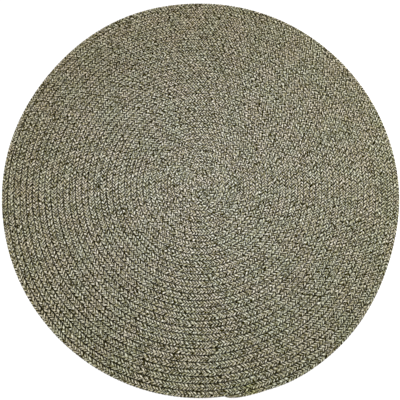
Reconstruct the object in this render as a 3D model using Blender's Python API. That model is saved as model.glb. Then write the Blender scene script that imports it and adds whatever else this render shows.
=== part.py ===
"""A round braided rug: one long flat braid, coiled from its middle and sewn edge to edge.

Metres, +Z up. The rug lies flat on z = 0, with the middle of its outline on the Z axis.
Seen from above, the coil winds outwards clockwise and the braid ends at the rim, on the
-Y side. Directions are in degrees, anticlockwise from +X.
"""

import math
from collections import namedtuple

import bmesh
import bpy
from mathutils import Vector

# Driving dimensions
ROW_WIDTH = 0.028            # one row of the braid, from seam to seam
THICKNESS = 0.011            # at the crown of a row
SEAM_DEPTH = 0.0036          # how far a sewn seam lies below the crowns
SHOULDER_HEIGHT = 0.0091     # where the outer row starts to round over
RIM_HEIGHT = 0.0055          # where the outer row is widest
RIM_DRAW_IN = 0.0035         # how far its shoulder and foot lie inside its widest line

# The coil: its seam leaves the middle at START_DIRECTION and runs on to the braid's end
START_DIRECTION = 12.5
STEPS_PER_TURN = 64
STEPS_TO_END = 2065          # 32.27 turns
LAST_TURN = STEPS_TO_END - STEPS_PER_TURN
STEPS_OF_HEART = 8           # the first steps of the seam, which all lie on the middle point
HEART_TURNS = 0.5            # the seam reaches its full depth over this much of the coil

# How far the rows stray from an even spiral, in row widths, by direction. The rug grows
# mostly on its lower right side, and elsewhere the rows run nearly as rings.
Stray = namedtuple("Stray", "direction rows")
STRAYS = (
    Stray(0, -0.50),
    Stray(22, -0.48),
    Stray(46, -0.34),
    Stray(68, -0.13),
    Stray(92, -0.01),
    Stray(117, 0.19),
    Stray(145, -0.10),
    Stray(171, 0.05),
    Stray(196, 0.06),
    Stray(236, 0.21),
    Stray(272, 0.37),
    Stray(291, 0.12),
    Stray(315, -0.14),
    Stray(338, -0.62),
)
STRAY_GROWTH = 1.5           # the straying grows with this power of the distance from the middle

# The last stretch of the braid narrows, thins and is tucked in against the row before it
Tail = namedtuple("Tail", "steps_from_end width_share height_share")
TAILS = (
    Tail(0, 0.00, 0.55),
    Tail(1, 0.40, 0.78),
    Tail(2, 0.66, 0.90),
    Tail(3, 0.92, 1.00),
)

BRAID_COLOUR = (0.238, 0.225, 0.161, 1.0)
BRAID_ROUGHNESS = 0.95
SMOOTH_BELOW = math.radians(50)


def smooth_between(before, low, high, after, share):
    """A smooth curve's value at this share of the way from low to high."""
    rise = (high - before) / 2
    fall = (after - low) / 2
    bend = 2 * (low - high) + rise + fall
    return low + share * (rise + share * (3 * (high - low) - 2 * rise - fall + share * bend))


def stray_rows(direction):
    """How many row widths the rim strays in a direction, read smoothly from the table."""
    direction %= 360
    count = len(STRAYS)
    after = next((i for i in range(count) if STRAYS[i].direction > direction), 0)
    near = [STRAYS[(after + shift) % count] for shift in (-2, -1, 0, 1)]
    gap = (near[2].direction - near[1].direction) % 360
    share = ((direction - near[1].direction) % 360) / gap
    return smooth_between(near[0].rows, near[1].rows, near[2].rows, near[3].rows, share)


def direction_at(step):
    """The coil runs clockwise, so its direction falls with each step."""
    return START_DIRECTION - 360 * step / STEPS_PER_TURN


def seam_radius(step):
    """How far from the middle the seam runs."""
    turn = step / STEPS_PER_TURN
    reach = (step / STEPS_TO_END) ** STRAY_GROWTH
    return ROW_WIDTH * (turn + reach * stray_rows(direction_at(step)))


def tail_shares(step):
    """The braid's width and height at a step, as shares of a full row's."""
    for tail in TAILS:
        if step >= STEPS_TO_END - tail.steps_from_end:
            return tail.width_share, tail.height_share
    return 1.0, 1.0


def add_point(bm, radius, step, height):
    """A point at this distance from the middle, in the direction of this step."""
    direction = math.radians(direction_at(step))
    return bm.verts.new((radius * math.cos(direction), radius * math.sin(direction), height))


def add_patch(bm, *corners):
    """A face between corners, or none where fewer than three of them differ."""
    different = list(dict.fromkeys(corners))
    if len(different) >= 3:
        bm.faces.new(different)


def seam_points(bm):
    """The sewn seam from the middle to the braid's end, where it comes out at the rim."""
    middle = bm.verts.new((0, 0, THICKNESS))
    points = [middle] * STEPS_OF_HEART
    for step in range(STEPS_OF_HEART, STEPS_TO_END):
        depth = SEAM_DEPTH * min(1.0, step / STEPS_PER_TURN / HEART_TURNS)
        points.append(add_point(bm, seam_radius(step), step, THICKNESS - depth))
    points.append(add_point(bm, seam_radius(STEPS_TO_END), STEPS_TO_END, RIM_HEIGHT))
    return points


def outer_edge_radius(step):
    """The outer edge of the row whose inner edge is the seam at this step."""
    inner = seam_radius(step)
    return inner + tail_shares(step)[0] * (seam_radius(step + STEPS_PER_TURN) - inner)


def crown_points(bm, seam):
    """The crown of the braid, midway between its two edges, ending in the braid's tip."""
    points = []
    for step in range(STEPS_TO_END):
        radius = (seam_radius(step) + outer_edge_radius(step)) / 2
        points.append(add_point(bm, radius, step, THICKNESS * tail_shares(step)[1]))
    return points + [seam[STEPS_TO_END]]


def rim_rings(bm, seam):
    """The rounded edge of the last turn: a shoulder, the widest line and the foot.

    Each ring starts and ends at the braid's tip. They are lists by step from the start of
    the last turn.
    """
    tip = seam[STEPS_TO_END]
    shoulders, widest, feet = [tip], [tip], []
    for step in range(LAST_TURN, STEPS_TO_END):
        radius = outer_edge_radius(step)
        feet.append(add_point(bm, radius - RIM_DRAW_IN, step, 0))
        if step > LAST_TURN:
            share = tail_shares(step)[1]
            shoulders.append(add_point(bm, radius - RIM_DRAW_IN, step, SHOULDER_HEIGHT * share))
            widest.append(add_point(bm, radius, step, RIM_HEIGHT * share))
    return shoulders + [tip], widest + [tip], feet + [feet[0]]


def fill_heart(bm, seam, crown):
    """The middle of the coil, inside the seam's first turn."""
    middle, last = seam[0], STEPS_PER_TURN - 1
    for step in range(STEPS_OF_HEART, last):
        add_patch(bm, middle, seam[step + 1], seam[step])
    add_patch(bm, middle, crown[0], seam[last + 1], seam[last])


def fill_rows(bm, seam, crown):
    """The two sloping halves of every row, up to the crown of the last turn."""
    for step in range(STEPS_TO_END):
        add_patch(bm, seam[step], seam[step + 1], crown[step + 1], crown[step])
    for step in range(LAST_TURN):
        beyond = step + STEPS_PER_TURN
        add_patch(bm, crown[step], crown[step + 1], seam[beyond + 1], seam[beyond])


def fill_rim(bm, crown, shoulders, widest, feet):
    """The rounded edge round the last turn, and the flat underside."""
    rings = (crown[LAST_TURN:], shoulders, widest, feet)
    for inner, outer in zip(rings, rings[1:]):
        for step in range(STEPS_PER_TURN):
            add_patch(bm, inner[step], inner[step + 1], outer[step + 1], outer[step])
    bm.faces.new(feet[:-1])


def centre_outline(bm):
    """Move the rug so that the middle of its outline lies on the Z axis."""
    for axis in (0, 1):
        reach = [vert.co[axis] for vert in bm.verts]
        shift = Vector((0, 0, 0))
        shift[axis] = -(min(reach) + max(reach)) / 2
        bmesh.ops.translate(bm, verts=bm.verts, vec=shift)


def braid_material():
    """Tweed yarn of olive grey and cream, seen from a step away as one colour."""
    material = bpy.data.materials.new("braid")
    material.use_nodes = True
    shader = material.node_tree.nodes["Principled BSDF"]
    shader.inputs["Base Color"].default_value = BRAID_COLOUR
    shader.inputs["Roughness"].default_value = BRAID_ROUGHNESS
    return material


def make_braid():
    """The whole rug: one braid, coiled and sewn into one flat piece."""
    bm = bmesh.new()
    seam = seam_points(bm)
    crown = crown_points(bm, seam)
    shoulders, widest, feet = rim_rings(bm, seam)
    fill_heart(bm, seam, crown)
    fill_rows(bm, seam, crown)
    fill_rim(bm, crown, shoulders, widest, feet)
    centre_outline(bm)
    bmesh.ops.triangulate(bm, faces=bm.faces)
    bmesh.ops.recalc_face_normals(bm, faces=bm.faces)

    mesh = bpy.data.meshes.new("braid")
    bm.to_mesh(mesh)
    bm.free()
    mesh.shade_smooth()
    mesh.set_sharp_from_angle(angle=SMOOTH_BELOW)
    mesh.materials.append(braid_material())
    bpy.context.collection.objects.link(bpy.data.objects.new("braid", mesh))


for old in list(bpy.data.objects):
    bpy.data.objects.remove(old)
make_braid()
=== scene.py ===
import math

import bpy
import numpy as np
from mathutils import Matrix, Vector


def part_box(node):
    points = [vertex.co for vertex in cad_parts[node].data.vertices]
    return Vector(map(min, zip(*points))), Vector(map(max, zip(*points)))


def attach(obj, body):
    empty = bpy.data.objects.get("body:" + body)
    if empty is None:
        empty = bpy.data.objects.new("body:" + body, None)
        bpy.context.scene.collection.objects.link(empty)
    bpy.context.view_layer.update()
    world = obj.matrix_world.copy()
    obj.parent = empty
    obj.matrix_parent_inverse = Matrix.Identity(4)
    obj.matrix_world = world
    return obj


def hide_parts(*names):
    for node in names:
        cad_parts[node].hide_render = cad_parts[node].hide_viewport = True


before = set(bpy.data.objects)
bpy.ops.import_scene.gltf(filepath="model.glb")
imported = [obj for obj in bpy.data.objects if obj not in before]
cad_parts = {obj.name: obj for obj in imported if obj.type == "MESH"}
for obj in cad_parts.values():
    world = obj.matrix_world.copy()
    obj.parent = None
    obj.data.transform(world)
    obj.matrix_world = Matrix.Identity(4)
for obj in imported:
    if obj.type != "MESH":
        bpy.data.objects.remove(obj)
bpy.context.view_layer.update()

bpy.ops.object.select_all(action="DESELECT")


# ---- The braid --------------------------------------------------------------------------
# One flat braid of tweed yarn winds out clockwise from the middle of the rug, and each row is
# sewn edge to edge to the row before it. The end is tucked in against the rim. The braid is
# made here in lengths that lie end to end, as one closed tube each.
ROW_WIDTH = 0.028            # from seam to seam
SEAM_TURNS = 2065 / 64       # from the middle to the braid's end
SEAM_START = math.radians(12.5)
START_TURN = -0.96           # where the braid starts, almost a turn before its inner seam does
PINHOLE = 0.0004             # left open at the very middle
RIM_POINTS = 64              # at which the rim is measured
RUN_POINTS = 24001           # at which the braid's length is measured

# The rug grows mostly on its lower right side, and elsewhere the rows run nearly as rings
STRAY_GROWTH = 1.5           # the rows stray with this power of the distance from the middle
STRAYS = np.array([  # direction in degrees, stray from an even spiral at the rim in row widths
    (0, -0.50),
    (22, -0.48),
    (46, -0.34),
    (68, -0.13),
    (92, -0.01),
    (117, 0.19),
    (145, -0.10),
    (171, 0.05),
    (196, 0.06),
    (236, 0.21),
    (272, 0.37),
    (291, 0.12),
    (315, -0.14),
    (338, -0.62),
])

# The last stretch narrows and thins to a tip
TAIL_TURNS = np.array([0, 0.05, 0.13, 0.28, 0.50, 0.73, 1, 2, 3, 4]) / 64     # before the end
TAIL_WIDTHS = (0.02, 0.10, 0.22, 0.36, 0.48, 0.55, 0.59, 0.69, 0.92, 1.0)
TAIL_HEIGHTS = (0.30, 0.45, 0.58, 0.68, 0.75, 0.80, 0.84, 0.94, 1.0, 1.0)


def direction_at(turn):
    """The direction from the middle after so many turns, in radians."""
    return SEAM_START - 2 * math.pi * turn


def stray_rows(turn):
    """How far the rim strays in the direction of a turn, read smoothly from the table."""
    direction = np.degrees(direction_at(turn)) % 360
    known, rows = STRAYS.T
    after = np.searchsorted(known, direction, side="right")
    near = [(after + shift) % len(known) for shift in (-2, -1, 0, 1)]
    before, low, high, beyond = (rows[i] for i in near)
    share = (direction - known[near[1]]) % 360 / ((known[near[2]] - known[near[1]]) % 360)
    rise, fall = (high - before) / 2, (beyond - low) / 2
    bend = 2 * (low - high) + rise + fall
    return low + share * (rise + share * (3 * (high - low) - 2 * rise - fall + share * bend))


def seam_radius(turn):
    """How far from the middle the seam runs; it lies on the middle before its first turn."""
    turn = np.maximum(turn, 0)
    reach = (turn / SEAM_TURNS) ** STRAY_GROWTH
    return ROW_WIDTH * (turn + reach * stray_rows(turn))


def tail_share(turn, shares):
    """What is left of the braid's width or height near its end."""
    return np.interp(SEAM_TURNS - turn, TAIL_TURNS, shares)


def row_edges(turn):
    """The inner and outer edge of the row whose inner edge is the seam."""
    inner = seam_radius(turn)
    outer = inner + tail_share(turn, TAIL_WIDTHS) * (seam_radius(turn + 1) - inner)
    return np.maximum(inner, PINHOLE), outer


def coil_middle():
    """Where the coil's middle lies, so that the rim fills the CAD solid's box."""
    turn = np.linspace(SEAM_TURNS - 1, SEAM_TURNS, RIM_POINTS, endpoint=False)
    rim, direction = row_edges(turn)[1], direction_at(turn)
    low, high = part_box("braid")
    x, y = rim * np.cos(direction), rim * np.sin(direction)
    return (low[0] + high[0] - x.min() - x.max()) / 2, (low[1] + high[1] - y.min() - y.max()) / 2


MIDDLE_X, MIDDLE_Y = coil_middle()


def coil_points(radius, turn, height):
    """Points of the coil as rows of x, y and z."""
    direction = direction_at(turn)
    x = MIDDLE_X + radius * np.cos(direction)
    y = MIDDLE_Y + radius * np.sin(direction)
    return np.stack([x, y, np.broadcast_to(height, x.shape)], axis=-1)


def run_of_braid():
    """Turns and lengths along the middle line of the braid, as two matching columns."""
    turn = np.linspace(START_TURN, SEAM_TURNS, RUN_POINTS)
    inner, outer = row_edges(turn)
    middle = (inner + outer) / 2
    pieces = 2 * math.pi * (middle[1:] + middle[:-1]) / 2 * np.diff(turn)
    return turn, np.concatenate([[0], np.cumsum(pieces)])


RUN_TURNS, RUN_LENGTHS = run_of_braid()
BRAID_LENGTH = RUN_LENGTHS[-1]

# The yarn is spun from wool dyed in several colours: near-black, olive, oat and cream. Three
# yarns lie side by side in each strand, the middle one lighter, and light and dark flecks
# take turns along them.
YARNS_IN_STRAND = 3
FLECKS_ROUND = 11.0          # on one yarn, once round the braid
YARN_TONES = (  # place on the scale from dark to light, colour
    (0.00, (0.016, 0.013, 0.003)),
    (0.30, (0.056, 0.045, 0.006)),
    (0.42, (0.405, 0.376, 0.220)),
    (0.56, (0.632, 0.605, 0.496)),
    (0.79, (0.828, 0.808, 0.735)),
)
# How far up that scale each of these can move a fleck
FLECK_CHANCE = 0.38
YARN_CHANCE = 0.10
MIDDLE_YARN = 0.24
EVERY_OTHER_FLECK = 0.29
FIBRE_STREAK = 0.60
# The ends of a fleck are ragged and slant over the yarn
FLECK_START = 9.0            # how far one yarn's flecks may start from the next one's
FLECK_SLANT = 0.5
RAGGED_ENDS = 0.6

FIBRES_ACROSS = 5.0          # a yarn's width on the scale of the fibre noise
FIBRE_START = 40.0
FIBRE_SCALE, FIBRE_DETAIL, FIBRE_ROUGHNESS = 2.2, 3.0, 0.65
FIBRE_LIGHTS = ((0.34, (0.74, 0.715, 0.60)), (0.66, (1.26, 1.27, 1.36)))
FIBRE_DRAW, FLECK_DRAW, YARN_DRAW = 9.5, 3.5, 5.5      # keep these chances apart

# The dye lots drift, so soft patches of brown and sage green lie over the rows
DYE_SCALE, DYE_DETAIL = 10.0, 1.5
DYE_LOTS = ((0.36, (1.03, 0.99, 0.97)), (0.64, (0.97, 1.01, 0.97)))

# The colour of the painted shade in the seams, the creases and between two yarns
PAINTED_SHADE_COLOUR = (0.006, 0.005, 0.001)
# Painted shade in the groove between two yarns
GROOVE_PAINTED_SHADE, GROOVE_WIDTH = 0.5, 0.6      # between two yarns
WOOL_ROUGHNESS = 0.95
BUMP_STRENGTH, BUMP_HEIGHT = 0.5, 0.0012


def tweed(name):
    """Yarn whose colour changes from fleck to fleck.

    The map named strands gives the strand's number and the place round the braid. Two attributes
    give the painted shade in the seams, along the middle line and in the creases between
    strands, and the drift of the dye.
    """
    material = bpy.data.materials.new(name)
    material.use_nodes = True
    nodes, links = material.node_tree.nodes, material.node_tree.links
    shader = nodes["Principled BSDF"]
    shader.inputs["Roughness"].default_value = WOOL_ROUGHNESS
    shader.inputs["Specular IOR Level"].default_value = 0.0

    def feed(sockets, values):
        for socket, value in zip(sockets, values):
            if isinstance(value, (int, float)):
                socket.default_value = value
            else:
                links.new(value, socket)

    def work(kind, *values):
        node = nodes.new("ShaderNodeMath")
        node.operation = kind
        feed(node.inputs, values)
        return node.outputs[0]

    def total(*parts):
        """The sum of pairs of a value and its weight."""
        result = 0.0
        for value, weight in parts:
            result = work("MULTIPLY_ADD", value, weight, result)
        return result

    def vector(x, y, z):
        node = nodes.new("ShaderNodeCombineXYZ")
        feed(node.inputs, (x, y, z))
        return node.outputs[0]

    def chance_at(x, y, z):
        noise = nodes.new("ShaderNodeTexWhiteNoise")
        noise.noise_dimensions = "3D"
        links.new(vector(x, y, z), noise.inputs["Vector"])
        return noise.outputs["Value"]

    def soft_noise(place, scale, detail):
        noise = nodes.new("ShaderNodeTexNoise")
        noise.inputs["Scale"].default_value = scale
        noise.inputs["Detail"].default_value = detail
        links.new(place, noise.inputs["Vector"])
        return noise

    def ramp(value, stops, kind="LINEAR"):
        node = nodes.new("ShaderNodeValToRGB")
        node.color_ramp.interpolation = kind
        steps = node.color_ramp.elements
        for count, (start, colour) in enumerate(stops):
            step = steps[count] if count < len(steps) else steps.new(start)
            step.position = start
            step.color = (*colour, 1)
        links.new(value, node.inputs[0])
        return node.outputs[0]

    def blend(kind, share, first, second):
        node = nodes.new("ShaderNodeMix")
        node.data_type, node.blend_type = "RGBA", kind
        factor, colour_a, colour_b = node.inputs[0], node.inputs[6], node.inputs[7]
        feed((factor,), (share,))
        links.new(first, colour_a)
        if isinstance(second, tuple):
            colour_b.default_value = (*second, 1)
        else:
            links.new(second, colour_b)
        return node.outputs[2]

    def attribute(title):
        node = nodes.new("ShaderNodeAttribute")
        node.attribute_name = title
        return node

    strands = nodes.new("ShaderNodeUVMap")
    strands.uv_map = "strands"
    split = nodes.new("ShaderNodeSeparateXYZ")
    links.new(strands.outputs[0], split.inputs[0])
    strand, place_round = split.outputs[0], split.outputs[1]
    yarns = work("MULTIPLY", strand, float(YARNS_IN_STRAND))
    yarn, across = work("FLOOR", yarns), work("FRACT", yarns)
    side = work("FLOOR", work("MULTIPLY", place_round, 2.0))
    along = work("MULTIPLY", place_round, FLECKS_ROUND / 2)
    crown = work("MULTIPLY", work("MULTIPLY", across, work("SUBTRACT", 1.0, across)), 4.0)

    start = chance_at(yarn, side, FIBRE_DRAW)
    grain = vector(total((across, FIBRES_ACROSS), (start, FIBRE_START)), along, side)
    fibres = soft_noise(grain, FIBRE_SCALE, FIBRE_DETAIL)
    fibres.inputs["Roughness"].default_value = FIBRE_ROUGHNESS
    fibre = fibres.outputs[0]

    start = chance_at(yarn, side, FLECK_DRAW)
    fleck = work("FLOOR", total(
        (along, 1.0),
        (start, FLECK_START),
        (across, FLECK_SLANT),
        (fibre, RAGGED_ENDS),
    ))
    lightness = total(
        (chance_at(yarn, side, fleck), FLECK_CHANCE),
        (chance_at(yarn, side, YARN_DRAW), YARN_CHANCE),
        (work("COMPARE", work("MODULO", yarn, float(YARNS_IN_STRAND)), 1.0, 0.5), MIDDLE_YARN),
        (work("MODULO", fleck, 2.0), EVERY_OTHER_FLECK),
        (work("SUBTRACT", fibre, 0.5), FIBRE_STREAK),
    )
    where = nodes.new("ShaderNodeTexCoord")
    dye = soft_noise(where.outputs["Object"], DYE_SCALE, DYE_DETAIL)

    colour = ramp(lightness, YARN_TONES, "CONSTANT")
    colour = blend("MULTIPLY", 1.0, colour, ramp(dye.outputs[0], DYE_LOTS))
    colour = blend("MULTIPLY", 1.0, colour, attribute("tint").outputs["Color"])
    colour = blend("MULTIPLY", 1.0, colour, ramp(fibre, FIBRE_LIGHTS))
    # Painted shade between two yarns, and in the seams, the middle line and the creases, mixed
    # over the colour
    groove = work("SUBTRACT", 1.0, work("POWER", crown, GROOVE_WIDTH))
    groove = work("MULTIPLY", groove, GROOVE_PAINTED_SHADE)
    depth = work("MAXIMUM", attribute("painted_shade").outputs["Fac"], groove)
    links.new(blend("MIX", depth, colour, PAINTED_SHADE_COLOUR), shader.inputs["Base Color"])

    bump = nodes.new("ShaderNodeBump")
    bump.inputs["Strength"].default_value = BUMP_STRENGTH
    bump.inputs["Distance"].default_value = BUMP_HEIGHT
    links.new(work("ADD", fibre, crown), bump.inputs["Height"])
    links.new(bump.outputs[0], shader.inputs["Normal"])
    return material


tweed_yarn = tweed("tweed yarn")

# From the braid's middle line each strand leans forward to the edge, goes round it and back
# under, so both faces of the rug show rows of arrows
STRAND_PITCH = 0.0136        # from one arrow to the next
STEPS_IN_STRAND = 4          # a crease, then three points over the strand
STEP = STRAND_PITCH / STEPS_IN_STRAND
LEAN = 0.5 * ROW_WIDTH       # how far a strand runs on between the middle line and the seam
CREASES = np.array([0.0030, 0.0004, 0.0, 0.0004])      # depth at each step of a strand
# Painted shade in the crease between two strands, at each step
CREASE_PAINTED_SHADES = np.array([1.0, 0.10, 0.0, 0.10])
RIM_CREASE = 0.0016          # how far the rim draws in between two strands
RIM_POWER = 4                # it grows with this power of the way from the row's middle line
RIM_FADE = 1 / 30            # of a turn, over which the rim comes free at its start
UNDERSIDE_CREASES = 0.6      # of the depth on top

# Round the braid, from its inner seam over the top to the outer seam, and back underneath
# The last column is the painted shade round the braid, deepest in the seams and the middle line
RING = np.array([  # share of the row's width, height, lean, relief, shade in the hollow
    (-0.014, 0.0055, 1.00, 0.10, 1.00),
    (0.060, 0.0086, 0.84, 0.70, 0.65),
    (0.170, 0.0106, 0.60, 1.00, 0.00),
    (0.340, 0.0108, 0.30, 1.00, 0.00),
    (0.500, 0.0090, 0.00, 0.40, 0.70),
    (0.660, 0.0108, 0.30, 1.00, 0.00),
    (0.830, 0.0106, 0.60, 1.00, 0.00),
    (0.940, 0.0086, 0.84, 0.70, 0.65),
    (1.014, 0.0055, 1.00, 0.10, 1.00),
    (0.930, 0.0018, 1.15, 0.30, 0.80),
    (0.720, 0.0000, 1.56, 1.00, 0.05),
    (0.500, 0.0006, 2.00, 0.40, 0.25),
    (0.280, 0.0000, 1.56, 1.00, 0.05),
    (0.070, 0.0018, 1.15, 0.30, 0.80),
])
TOP_POINTS = 9
CROWN_RELIEF = 0.5           # a point with more than this lies on a strand's crown
# The braid's four sides, two on top and two below, by point and by face of the ring
SIDES = np.array([0, 0, 0, 0, 0, 1, 1, 1, 1, 2, 2, 2, 3, 3])
FACE_SIDES = np.array([0, 0, 0, 0, 1, 1, 1, 1, 2, 2, 2, 3, 3, 3])
# How far round the braid each point lies: 0 to 1 on top, 1 to 2 underneath
ROUND = np.array([0, 1, 2, 3, 4, 5, 6, 7, 8, 9.2, 10.7, 12, 13.3, 14.8, 16]) / 8

# Where the first row is bent tight, its strands lean less, and the second row's edge runs on
# under it
FIRST_FOLD = 0.012
HEART_REACH, HEART_TURNS = 0.0035, 0.9

# The seams' painted shade is deeper at the lower left, and fainter at the middle and the upper
# right
SEAM_SHADE_TOWARDS = math.radians(225)
SEAM_SHADE_GAIN, SEAM_SHADE_MORE = 1.15, 0.40
SEAM_SHADE_LESS_MIDDLE, SEAM_SHADE_MIDDLE_REACH = 0.35, 0.25
SEAM_FLANK = 0.7             # of the way from the middle line to the seam

# The last of the braid isn't plaited: its yarns lie long and smooth, wrapped in taupe wool
TAIL_LENGTH = 0.072
TAIL_YARNS = 1.4
TAIL_FLECK = 0.018           # length of a fleck
PLAIT_END = 0.5              # of the tail's length, from the tip
DRAWN_OUT = 0.050            # over which the plait fades
TAUPE_START = 1.5            # of the tail's length, from the tip

# The wool is greyer in the middle, yellower at the rim, brown on the upper left and greener
# across from it, and one green lot lies at the lower rim
RIM_RADIUS = 0.9
GREY_MIDDLE = np.array([0.985, 1.0, 1.05])
YELLOW_RIM = np.array([0.935, 0.93, 0.87])
BROWN_SIDE = np.array([0.0, -0.024, -0.036])
BROWN_TOWARDS = math.radians(130)
TAUPE_TAIL = np.array([0.70, 0.67, 0.66])
GREEN_LOT = np.array([0.92, 0.96, 0.66])
GREEN_LOT_AT, GREEN_LOT_WIDTH = math.radians(284.5), math.radians(2.2)
GREEN_LOT_TURNS = 1.6        # before the braid's end

# No two strands are quite alike in length, height, place and the depth of their painted shade
chance = np.random.default_rng(8)
STEPS = int(BRAID_LENGTH / STEP)
UNEVEN_STRANDS = 0.8         # of a step
NEARBY = np.array([1, 2, 3, 4, 3, 2, 1])
wander = np.convolve(chance.normal(0, 1, STEPS + len(NEARBY)), NEARBY, "valid")
wander /= math.sqrt((NEARBY**2).sum())
step_places = STEP * (np.arange(STEPS + 1) + UNEVEN_STRANDS * wander)
each_strand = (STEPS // STEPS_IN_STRAND + 2, 4)      # and each of its four sides
STRAND_LIFT, STRAND_SLIP = 0.00015, 0.0008      # up and down, and along
# How deep the painted shade lies in each strand's seams and middle line
STRAND_SHADE, SHADE_SPREAD = 0.80, 0.20
LEAST_SHADE, MOST_SHADE = 0.2, 1.1
strand_lift = chance.normal(0, STRAND_LIFT, each_strand)
strand_slip = chance.normal(0, STRAND_SLIP, each_strand)
strand_shade = chance.normal(STRAND_SHADE, SHADE_SPREAD, each_strand)
strand_shade = np.clip(strand_shade, LEAST_SHADE, MOST_SHADE)


def half_strand(side):
    """The strands of the braid's right sides lie half a pitch on from those of its left."""
    return np.where(side % 2 == 0, 0, STEPS_IN_STRAND // 2)


def painted_seam_shades(radius, direction, share, shade):
    """How deep the painted shade lies in the seams and the middle line, by place on the rug."""
    lower_left = np.cos(direction - SEAM_SHADE_TOWARDS) * np.clip(radius / RIM_RADIUS, 0, 1)
    near_middle = np.exp(-((radius / SEAM_SHADE_MIDDLE_REACH) ** 2))
    seam_shade_gain = SEAM_SHADE_GAIN + SEAM_SHADE_MORE * lower_left - SEAM_SHADE_LESS_MIDDLE * near_middle
    return np.where(np.abs(2 * share - 1) > SEAM_FLANK, seam_shade_gain, 1.0) * shade


def wool_tints(radius, turn, left):
    """How the wool's colour drifts over the rug, and towards the braid's end."""
    direction = direction_at(turn)
    outward = (np.clip(radius / RIM_RADIUS, 0, 1) ** 2)[..., None]
    brown = np.cos(direction - BROWN_TOWARDS)[..., None] * BROWN_SIDE
    tint = GREY_MIDDLE + outward * (YELLOW_RIM + brown - GREY_MIDDLE)
    tail = np.clip(TAUPE_START - left / TAIL_LENGTH, 0, 1)[..., None]
    tint = tint + tail * (TAUPE_TAIL - tint)
    off = (direction - GREEN_LOT_AT + math.pi) % (2 * math.pi) - math.pi
    lot = np.exp(-((off / GREEN_LOT_WIDTH) ** 2))
    lot = lot * np.clip(turn - SEAM_TURNS + GREEN_LOT_TURNS, 0, 1)
    return tint * (1 + lot[..., None] * (GREEN_LOT - 1))


def braid_rings(first, last):
    """The points, hollows' shades and tints of the braid's cross-sections, step by step."""
    step = np.arange(first, last + 1)[:, None]
    share, height, lean, relief, shade = (column[None] for column in RING.T)
    run = step_places[step]
    left = BRAID_LENGTH - run
    plaited = np.clip(np.interp(run, RUN_LENGTHS, row_edges(RUN_TURNS)[1]) / FIRST_FOLD, 0, 1)
    plaited = plaited * np.clip((left - PLAIT_END * TAIL_LENGTH) / DRAWN_OUT, 0, 1)
    side = SIDES[None]
    strand, phase = np.divmod(step + half_strand(side), STEPS_IN_STRAND)
    slip = strand_slip[strand, side] * (relief > CROWN_RELIEF)
    turn = np.interp(run + plaited * (LEAN * lean + slip), RUN_LENGTHS, RUN_TURNS)

    inner, outer = row_edges(turn)
    last_turn = np.clip((turn - SEAM_TURNS + 1) / RIM_FADE, 0, 1)
    rim = last_turn * np.clip(2 * share - 1, 0, 1) ** RIM_POWER
    drawn_in = RIM_CREASE * rim * plaited * CREASES[phase] / CREASES[0]
    radius = inner + share * (outer - inner) - drawn_in
    under = np.maximum(radius - HEART_REACH, PINHOLE)
    radius = np.where((share < 0) & (turn > 0) & (turn < HEART_TURNS), under, radius)

    depth = relief * plaited * (CREASES[phase] - strand_lift[strand, side])
    full = height * tail_share(turn, TAIL_HEIGHTS)
    on_top = np.arange(len(RING))[None] < TOP_POINTS
    level = np.where(on_top, full - depth, np.maximum(full + UNDERSIDE_CREASES * depth, 0))

    # Painted shade in the seams and along the middle line, and in the creases between strands
    dark = painted_seam_shades(radius, direction_at(turn), share, shade)
    dark = np.clip(dark * strand_shade[strand, side], 0, 1)
    painted_shade = 1 - (1 - dark) * (1 - CREASE_PAINTED_SHADES[phase] * plaited)
    return coil_points(radius, turn, level), painted_shade, wool_tints(radius, turn, left)


# The corners of a face, as steps along the braid and points round it
CORNERS_ALONG = np.array([0, 1, 1, 0])
CORNERS_ROUND = np.array([0, 0, 1, 1])
FLAT_LINES = 17              # a length's flat map is cut into this many lines
FLAT_MARGIN = 0.02           # of a line, at each edge


def yarn_map(step, face_step, face_side, place_round):
    """The strand's number and the place round the braid, for each corner of each face."""
    left = BRAID_LENGTH - step * STEP
    drawn = BRAID_LENGTH - face_step * STEP < TAIL_LENGTH
    strand = (step + half_strand(face_side)) / STEPS_IN_STRAND
    strand = np.where(drawn, TAIL_YARNS * place_round, strand)
    return strand, np.where(drawn, left / TAIL_FLECK * 2 / FLECKS_ROUND, place_round)


def flat_map(row, rows, place_round):
    """The braid's skin laid out flat, in lines one above the other."""
    in_line = math.ceil(rows / FLAT_LINES)
    line, spot = np.divmod(row, in_line)
    y = line + FLAT_MARGIN + (1 - 2 * FLAT_MARGIN) * place_round / 2
    return (spot + CORNERS_ALONG) / in_line, y / FLAT_LINES


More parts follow.
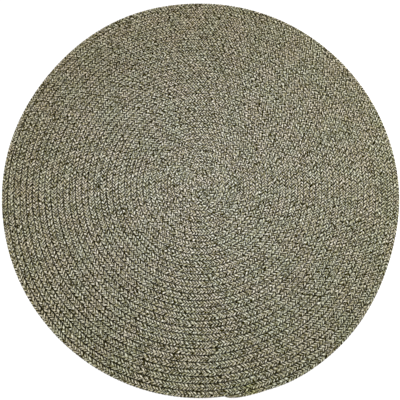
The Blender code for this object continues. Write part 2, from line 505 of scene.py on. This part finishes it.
def braid_length(name, first, last):
    """One length of the braid as a closed tube."""
    points, painted_shade, tint = braid_rings(first, last)
    rings, around = points.shape[:2]
    row, column = np.divmod(np.arange((rings - 1) * around)[:, None], around)
    skin = (row + CORNERS_ALONG) * around + (column + CORNERS_ROUND) % around
    ends = [points[0].mean(axis=0), points[-1].mean(axis=0)]
    vertices = np.concatenate([points.reshape(-1, 3), ends])
    start_point, end_point, last_ring = rings * around, rings * around + 1, (rings - 1) * around
    neighbours = [(here, (here + 1) % around) for here in range(around)]
    caps = [(start_point, here, ahead) for here, ahead in neighbours]
    caps += [(end_point, last_ring + ahead, last_ring + here) for here, ahead in neighbours]

    mesh = bpy.data.meshes.new(name)
    mesh.from_pydata(vertices.tolist(), [], skin.tolist() + caps)
    mesh.polygons.foreach_set("use_smooth", np.ones(len(mesh.polygons), bool))
    shades = np.concatenate([painted_shade.ravel(), [1.0, 1.0]])
    mesh.attributes.new("painted_shade", "FLOAT", "POINT").data.foreach_set("value", shades)
    tints = np.ones((len(vertices), 4))
    tints[:-2, :3] = tint.reshape(-1, 3)
    mesh.attributes.new("tint", "FLOAT_COLOR", "POINT").data.foreach_set("color", tints.ravel())

    place_round = ROUND[column + CORNERS_ROUND]
    step = first + row + CORNERS_ALONG
    strands = yarn_map(step, first + row, FACE_SIDES[column], place_round)
    flat = flat_map(row, rings - 1, place_round)
    for title, (x, y) in (("strands", strands), ("OFBake", flat)):
        corners = np.stack([x, y], axis=-1).reshape(-1, 2)
        corners = np.concatenate([corners, np.zeros((3 * len(caps), 2))])
        layer = mesh.uv_layers.new(name=title)
        layer.uv.foreach_set("vector", corners.astype(np.float32).ravel())

    piece = bpy.data.objects.new(name, mesh)
    bpy.context.collection.objects.link(piece)
    mesh.materials.append(tweed_yarn)
    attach(piece, "root")
    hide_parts("braid")


LENGTHS = 5
cuts = np.linspace(0, STEPS, LENGTHS + 1).astype(int)
for number in range(LENGTHS):
    braid_length(f"braid_{number + 1}", int(cuts[number]), int(cuts[number + 1]))


# ---- Floor ------------------------------------------------------------------------------
# The rug lies flat on a plain pale floor with a matt finish. The floor reaches well past the
# picture on every side.
FLOOR_WIDTH = 12
FLOOR_LEVEL = -0.0004
FLOOR_PAINT = (0.97, 0.97, 0.97, 1)
FLOOR_ROUGHNESS = 0.9

bpy.ops.mesh.primitive_plane_add(size=FLOOR_WIDTH, location=(0, 0, FLOOR_LEVEL))
floor = bpy.context.object
floor.name = "floor"
pale = bpy.data.materials.new("pale floor")
pale.use_nodes = True
paint = pale.node_tree.nodes["Principled BSDF"]
paint.inputs["Base Color"].default_value = FLOOR_PAINT
paint.inputs["Roughness"].default_value = FLOOR_ROUGHNESS
floor.data.materials.append(pale)


# ---- Light and camera -------------------------------------------------------------------
# The room is bright all round. A soft lamp hangs over the rug and two larger ones hang to
# its right and left, the right one stronger. The camera looks almost straight down.
ROOM_COLOUR = (1.0, 0.995, 0.98, 1)
ROOM_STRENGTH = 0.81

room = bpy.data.worlds.new("studio")
room.use_nodes = True
room_light = room.node_tree.nodes["Background"]
room_light.inputs["Color"].default_value = ROOM_COLOUR
room_light.inputs["Strength"].default_value = ROOM_STRENGTH
bpy.context.scene.world = room


def soft_lamp(name, place, width, power):
    """A round soft lamp that faces the middle of the rug."""
    lamp = bpy.data.lights.new(name, "AREA")
    lamp.shape = "DISK"
    lamp.size = width
    lamp.energy = power
    hung = bpy.data.objects.new(name, lamp)
    hung.location = place
    hung.rotation_euler = (-Vector(place)).to_track_quat("-Z", "Y").to_euler()
    bpy.context.collection.objects.link(hung)


soft_lamp("overhead lamp", place=(0.05, 0.0, 1.55), width=0.5, power=12)
soft_lamp("right lamp", place=(1.30, 0.30, 1.1), width=0.7, power=8)
soft_lamp("left lamp", place=(-1.25, -0.45, 1.1), width=0.7, power=4.5)

CAMERA_PLACE = Vector((MIDDLE_X - 0.0034, MIDDLE_Y - 0.2755, 1.4861))
CAMERA_DIP = 1.4336          # radians below level
CAMERA_ROLL = 0.013
CAMERA_LENS = 29.43          # on a 36 mm wide sensor
ahead = Vector((0, math.cos(CAMERA_DIP), -math.sin(CAMERA_DIP)))
level, upward = Vector((1, 0, 0)), Vector((0, math.sin(CAMERA_DIP), math.cos(CAMERA_DIP)))
right = math.cos(CAMERA_ROLL) * level + math.sin(CAMERA_ROLL) * upward
up = math.cos(CAMERA_ROLL) * upward - math.sin(CAMERA_ROLL) * level
turned = Matrix((right, up, -ahead)).transposed().to_4x4()
camera = bpy.data.objects.new("camera", bpy.data.cameras.new("camera"))
camera.data.lens = CAMERA_LENS
camera.matrix_world = Matrix.Translation(CAMERA_PLACE) @ turned
bpy.context.collection.objects.link(camera)
bpy.context.scene.camera = camera
bpy.context.scene.view_settings.view_transform = "Standard"
